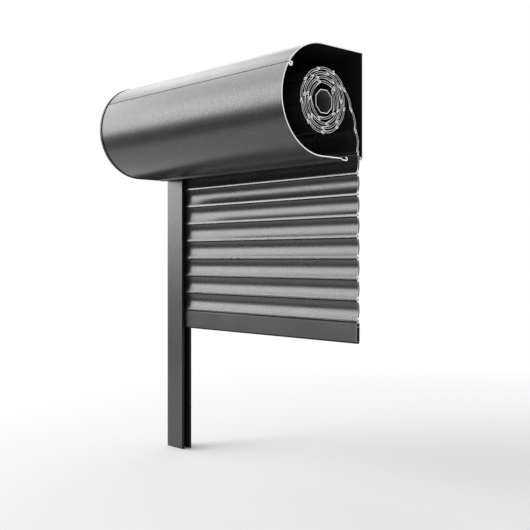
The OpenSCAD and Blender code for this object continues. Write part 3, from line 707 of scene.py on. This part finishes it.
def slat_template(bead):
    """A slat one metre long, with its end faces, its inside and its lip marked."""
    # Hollows and joints take the painted shade, the lip the painted highlight
    finishes = (SLAT_COAT, CUT_ALUMINIUM, PAINTED_SHADE_DARK, LIP_PAINTED_HIGHLIGHT)
    made = extrusion("slat_template", slat_section(bead), (0.0, 1.0), finishes, unit=1.0)
    for mark, index in (("end_face", CUT), ("inside_face", INSIDE), ("lip_face", LIP)):
        marked = made.data.attributes.new(mark, "BOOLEAN", "FACE")
        marked.data.foreach_set("value", [f.material_index == index for f in made.data.polygons])
    return made


def slats(name, template, hinges):
    """Slats on the given hinge lines, each a place across the shaft and a turn."""
    places = [(0.0, y, z) for y, z, _ in hinges]
    turns = [(turn, 0.0, 0.0) for _, _, turn in hinges]
    return row(name, template, places, turns, SLAT_COAT,
               offset=(SLAT_X * MM, 0.0, 0.0), stretch=((RIGHT_X - SLAT_X) * MM, 1.0, 1.0))


hooked = slat_template(True)
plain = slat_template(False)
wound = wound_line()
on_shaft = [(q[0] + SHAFT_Y, q[1], chord_turn(q, p)) for p, q in zip(wound, wound[1:])]
set_on(slats("wound_slats", hooked, on_shaft), "roll", "slat_coat",
       "wound_slats_1", "wound_slats_2", "wound_slats_3", "wound_slats_4")
for i, (p, q) in enumerate(zip(FEED, FEED[1:]), 1):
    running = [(p[0] + SHAFT_Y, p[1], chord_turn(p, q))]
    set_on(slats(f"running_slat_{i}", hooked, running), f"running_slat_{i}", "slat_coat", f"feed_slat_{i}")
uppermost = [(CURTAIN_Y, -FEED_DROP, 0.0)]
set_on(slats("upper_hanging_slat", plain, uppermost), "curtain", "slat_coat", "top_slat")
lower = [(CURTAIN_Y, -FEED_DROP - PITCH * i, 0.0) for i in range(1, HANGING + 1)]
set_on(slats("hanging_slats", hooked, lower), "curtain", "slat_coat",
       *[f"slat_{i}" for i in range(1, HANGING + 1)])

# Casing sheets, the panel with its four fixing holes
# The sheets' inner faces get the near-black coat of painted shade
SHEET_FINISHES = (CASING_COAT, CUT_ALUMINIUM, INNER_COAT_WITH_PAINTED_SHADE)
cover = extrusion("cover_sheet", cover_section(), SHEET_SPAN, SHEET_FINISHES)
set_on(cover, "cover", "powder_coat", "front_cover")
panel = extrusion("panel_sheet", panel_section(), SHEET_SPAN, SHEET_FINISHES)
fixing_holes = [(x, 0.0, ARC_Z + z) for x in (-FIXING_HOLE_X, FIXING_HOLE_X)
                for z in (-FIXING_HOLE_Z, FIXING_HOLE_Z)]
set_on(drilled(panel, fixing_holes, FIXING_HOLE_R), "headbox", "powder_coat", "top_rear_panel")


# Cap, rail, bar and shaft: copies of their solids; hidden faces, picked by their middles, get painted shade

def in_box(middle):
    """Faces of the cap from its plate's inner side on, without the outside of its rim."""
    margin = 0.1
    on_rim = math.hypot(min(middle.y - ARC_Y, 0.0), middle.z - ARC_Z) > CASING_R
    return middle.x > CAP_INNER_X - margin and not on_rim


def in_groove(middle):
    """Faces of the rail that aren't on its outside."""
    margin = 0.5
    within = RAIL_FRONT_Y + margin < middle.y < -margin
    return middle.x > LEFT_X + margin and within and middle.z > RAIL_FOOT_Z + margin


def in_bore(middle):
    """Faces of the shaft that aren't on its outside."""
    margin = 0.3
    return math.hypot(middle.y - SHAFT_Y, middle.z) < SHAFT_FLAT - margin


cap = solid_copy("end_cap", CAST_COAT, edge_mm=0.4, inside=in_box, rim=cap_rim())
set_on(cap, "headbox", "cast_cap", "end_cap")
rail = solid_copy("guide_rail", PROFILE_COAT, edge_mm=0.2, inside=in_groove)
set_on(rail, "headbox", "powder_coat", "guide_rail")
bar = solid_copy("bottom_bar", PROFILE_COAT, edge_mm=0.4, cut=BRUSHED_END)
set_on(bar, "curtain", "powder_coat", "bottom_bar")
# The shaft's bore gets the darker zinc, painted shade
shaft = solid_copy("roller_shaft", ZINC_STEEL, edge_mm=0.2, cut=CUT_STEEL, inside=in_bore, painted_shade_finish=ZINC_PAINTED_SHADE)
set_on(shaft, "roll", "zinc_steel", "roller_shaft")


# Fasteners, plugs and the cable grommet: turned shapes, drawn with their outer face towards +Z

def turned(name, profile, material, closed=False, steps=40):
    """A shape of revolution about Z; its profile runs from axis to axis, or round a closed ring."""
    mesh = bmesh.new()
    rings = []
    for r, z in profile:
        turns = [2 * math.pi * k / steps for k in range(1 if r == 0 else steps)]
        rings.append([mesh.verts.new((r * MM * math.cos(a), r * MM * math.sin(a), z * MM)) for a in turns])
    for low, high in zip(rings, rings[1:] + ([rings[0]] if closed else [])):
        for k in range(steps):
            n = (k + 1) % steps
            corners = [low[k % len(low)], low[n % len(low)], high[n % len(high)], high[k % len(high)]]
            mesh.faces.new(list(dict.fromkeys(corners)))
    bmesh.ops.recalc_face_normals(mesh, faces=mesh.faces[:])
    return to_piece(name, mesh, (material,))


def pan(r, h, steps=10):
    """A pan head's round edge and flat crown, from its rim to the axis."""
    side_power, crown_power = 0.5, 0.8
    made = []
    for k in range(steps):
        a = math.pi / 2 * k / steps
        made.append((r * math.cos(a) ** side_power, h * math.sin(a) ** crown_power))
    return made + [(0.0, h)]


def shank(r, length, chamfer=0.3):
    """A shank under a head, chamfered at its tip."""
    return [(0.0, -length), (r - chamfer, -length), (r, chamfer - length), (r, 0.0)]


def cross_head(name, head_r, head_h, shank_r, shank_len):
    """A pan head screw with a cross recess."""
    made = turned(name, shank(shank_r, shank_len) + pan(head_r, head_h), ZINC_STEEL)
    mesh = bmesh.new()
    # The recess's two arms, as shares of the head; half of their depth stands above it
    long, wide, deep = 1.1 * head_r, 0.26 * head_r, 1.3 * head_h
    for size in ((long, wide, deep), (wide, long, deep)):
        sized = Matrix.Diagonal([s * MM for s in size] + [1.0])
        place = Matrix.Translation((0.0, 0.0, head_h * MM))
        bmesh.ops.create_cube(mesh, size=1.0, matrix=place @ sized)
    return combined(made, mesh, "DIFFERENCE")


FACING_RIGHT = (0.0, math.pi / 2, 0.0)
FACING_FRONT = (math.pi / 2, 0.0, 0.0)
FACING_UP = (0.0, 0.0, 0.0)

panel_screw = cross_head("side_screw", head_r=3.8, head_h=1.0, shank_r=1.9, shank_len=4.5)
places = [(SCREW_LINE_X, y, TOP_Z) for y in PANEL_SCREW_YS]
set_on(row("panel_screw_heads", panel_screw, places, [FACING_UP] * len(places), ZINC_STEEL),
       "headbox", "zinc_steel", "panel_screws")

bracket_screw = cross_head("bracket_screw", head_r=4.5, head_h=2.2, shank_r=2.5, shank_len=5.7)
reach = (-BRACKET_REACH, BRACKET_REACH)
places = [(BRACKET_FACE_X, SHAFT_Y + y, z) for y in reach for z in reach]
set_on(row("bracket_screw_heads", bracket_screw, places, [FACING_RIGHT] * len(places), ZINC_STEEL),
       "headbox", "zinc_steel", "bracket_screws")

# Flush plugs: a stem and a wider head, as (radius, height)
PLUG = [(0.0, -4.0), (4.4, -4.0), (4.4, -2.0), (5.0, -2.0), (5.0, 0.0), (0.0, 0.0)]
plug = turned("plug", PLUG, PROFILE_COAT)
places = [(SCREW_LINE_X, RAIL_FRONT_Y, RAIL_FOOT_Z + PLUG_FOOT + PLUG_STEP * i) for i in range(PLUGS)]
set_on(row("rail_plug_faces", plug, places, [FACING_FRONT] * len(places), PROFILE_COAT),
       "headbox", "powder_coat", "rail_plugs")

# Cable grommet: a sleeve through the cap with a collar on its inner side, its edges rounded
GROMMET = [(2.5, 0.5), (2.65, 0.15), (3.0, 0.0), (4.6, 0.0), (5.0, 0.35), (5.0, 4.0),
           (7.2, 4.0), (7.5, 4.3), (7.5, 5.4), (7.1, 5.8), (3.2, 5.8), (2.5, 5.3)]
grommet = turned("grommet", GROMMET, BLACK_RUBBER, closed=True)
set_on(row("cable_grommet", grommet, [(CAP_OUTER_X, *CABLE_INLET)], [FACING_RIGHT], BLACK_RUBBER),
       "headbox", "black_rubber", "cable_inlet")

for template in (hooked, plain, panel_screw, bracket_screw, plug, grommet):
    bpy.data.objects.remove(template)

# Finishes of the carried-over solids
FINISHES = {
    "motor_bracket": ZINC_STEEL,
    "motor_head": BLACK_PLASTIC,
    "motor_tube": MOTOR_PAINT,
    "motor_output": ZINC_STEEL,
    "drive_wheel": BLACK_PLASTIC,
    "crown_ring": BLACK_PLASTIC,
    "shaft_hangers": ZINC_STEEL,
    "hanger_rivets": ZINC_STEEL,
    "inlet_guide": BLACK_PLASTIC,
    "rail_seal_front": BLACK_RUBBER,
    "rail_seal_rear": BLACK_RUBBER,
    "slat_end_locks": BLACK_PLASTIC,
    "bar_seal": BLACK_RUBBER,
    "bar_glide": BLACK_PLASTIC,
}
for name, finish in FINISHES.items():
    cad[name].data.materials.clear()
    cad[name].data.materials.append(finish)


# Stage, in metres: a pale floor under the rail's foot, which fades into the white ground

FLOOR_GAP = 0.0005
FLOOR_Z = RAIL_FOOT_Z * MM - FLOOR_GAP
FLOOR_HALF = 15.0
FADE_NEAR, FADE_FAR = 0.7, 1.9
WHITE = (1.0, 1.0, 1.0, 1.0)


def floor_material():
    """Pale matt floor near the object, plain white further out."""
    made, tree, out, coord = new_material("pale_floor")
    distance = add(tree, "ShaderNodeVectorMath", {0: coord}, operation="LENGTH")
    fade = add(tree, "ShaderNodeMapRange", {
        "Value": distance.outputs["Value"], "From Min": FADE_NEAR, "From Max": FADE_FAR})
    matt = add(tree, "ShaderNodeBsdfDiffuse", {"Color": srgb("#f6f6f6")})
    white = add(tree, "ShaderNodeEmission", {"Strength": 1.0})
    mixed = add(tree, "ShaderNodeMixShader", {
        0: fade.outputs["Result"], 1: matt.outputs["BSDF"], 2: white.outputs["Emission"]})
    tree.links.new(mixed.outputs["Shader"], out.inputs["Surface"])
    return made


def card_material():
    """Dark felt on the cards."""
    made, tree, out, _ = new_material("dark_card")
    felt = add(tree, "ShaderNodeBsdfDiffuse", {"Color": srgb("#151515")})
    tree.links.new(felt.outputs["BSDF"], out.inputs["Surface"])
    return made


def stage_sheet(name, sheets, material):
    """Plain sheets of the stage, each from its four corners."""
    data = bpy.data.meshes.new(name)
    corners = [p for sheet in sheets for p in sheet]
    data.from_pydata(corners, [], [range(4 * i, 4 * i + 4) for i in range(len(sheets))])
    data.materials.append(material)
    made = bpy.data.objects.new(name, data)
    scene.collection.objects.link(made)
    return made


floor_corners = [(x * FLOOR_HALF, y * FLOOR_HALF, FLOOR_Z) for x, y in ((-1, -1), (1, -1), (1, 1), (-1, 1))]
stage_sheet("floor", [floor_corners], floor_material())

# Dark cards on the left, which only the gloss of the coats shows: they draw the dark bands on the casing.
# One lies in front, one stands under the softboxes and one lies behind
CARD_LIFT = 0.002
CARD_Z = FLOOR_Z + CARD_LIFT
HORIZON_Z = -0.1
NEAR_LEFT, NEAR_RIGHT = (-1.7, -0.85), (0.55, -1.4)
FAR_LEFT, FAR_RIGHT = (-5.52, -2.23), (-2.0, -8.3)
FAR_END = (-8.2, 2.4)
BEHIND = ((-0.6, 0.0), (-0.6, 14.0), (-14.0, 14.0), (-14.0, 7.4))
card = stage_sheet("dark_cards", [
    [(*p, CARD_Z) for p in (NEAR_LEFT, NEAR_RIGHT, FAR_RIGHT, FAR_LEFT)],
    [(*FAR_RIGHT, CARD_Z), (*FAR_RIGHT, HORIZON_Z), (*FAR_END, HORIZON_Z), (*FAR_END, CARD_Z)],
    [(*p, CARD_Z) for p in BEHIND]], card_material())
card.visible_camera = False
card.visible_diffuse = False
card.visible_transmission = False
card.visible_shadow = False

# World: plain white to the camera, to gloss and through clear pieces, and a weak even light for the rest
WORLD_LIGHT = 0.35
world = bpy.data.worlds.new("studio")
world.use_nodes = True
scene.world = world
sky = world.node_tree
sky.nodes.clear()
path = add(sky, "ShaderNodeLightPath").outputs
seen = add(sky, "ShaderNodeMath", {0: path["Is Camera Ray"], 1: path["Is Glossy Ray"]}, operation="MAXIMUM")
seen = add(sky, "ShaderNodeMath", {0: seen.outputs["Value"], 1: path["Is Transmission Ray"]},
           operation="MAXIMUM")
soft = add(sky, "ShaderNodeBackground", {"Color": WHITE, "Strength": WORLD_LIGHT})
bright = add(sky, "ShaderNodeBackground", {"Color": WHITE, "Strength": 1.0})
both = add(sky, "ShaderNodeMixShader", {
    0: seen.outputs["Value"], 1: soft.outputs["Background"], 2: bright.outputs["Background"]})
add(sky, "ShaderNodeOutputWorld", {"Surface": both.outputs["Shader"]})

SOFTBOX_AWAY = 6.0


def softbox(name, turn, low, high, wide, radiance):
    """An upright area lamp, turned from the left towards the front, out of the camera's sight."""
    away = Vector((-math.cos(math.radians(turn)), -math.sin(math.radians(turn)), 0.0))
    lamp = bpy.data.lights.new(name, "AREA")
    lamp.shape = "RECTANGLE"
    lamp.size = wide
    lamp.size_y = high - low
    lamp.energy = radiance * math.pi * wide * (high - low)
    made = bpy.data.objects.new(name, lamp)
    made.location = SOFTBOX_AWAY * away + Vector((0.0, 0.0, (low + high) / 2))
    made.rotation_euler = (-away).to_track_quat("-Z", "Y").to_euler()
    made.visible_camera = False
    scene.collection.objects.link(made)


# Softboxes round the left side; the lower edge of the low ones is at the object's own height
softbox("left_softbox", turn=16.5, low=HORIZON_Z, high=3.0, wide=4.7, radiance=3.3)
softbox("front_softbox", turn=55.5, low=HORIZON_Z, high=3.0, wide=4.3, radiance=4.75)
softbox("high_softbox", turn=34.0, low=3.0, high=4.5, wide=12.3, radiance=2.65)
softbox("top_softbox", turn=23.0, low=4.5, high=8.5, wide=12.3, radiance=2.85)
softbox("rear_softbox", turn=-46.0, low=HORIZON_Z, high=4.9, wide=4.6, radiance=1.55)

# Camera at the photograph's place, level, with the frame moved a little down
EYE = (1.2748, -1.1564, -0.2663)
SIGHT = (-0.7368, 0.6761, 0.0)
lens = bpy.data.cameras.new("camera")
lens.lens = 58.61
lens.sensor_width = 36.0
lens.shift_y = -0.0107
camera = bpy.data.objects.new("camera", lens)
camera.location = EYE
camera.rotation_euler = Vector(SIGHT).to_track_quat("-Z", "Y").to_euler()
scene.collection.objects.link(camera)
scene.camera = camera
scene.view_settings.view_transform = "Standard"
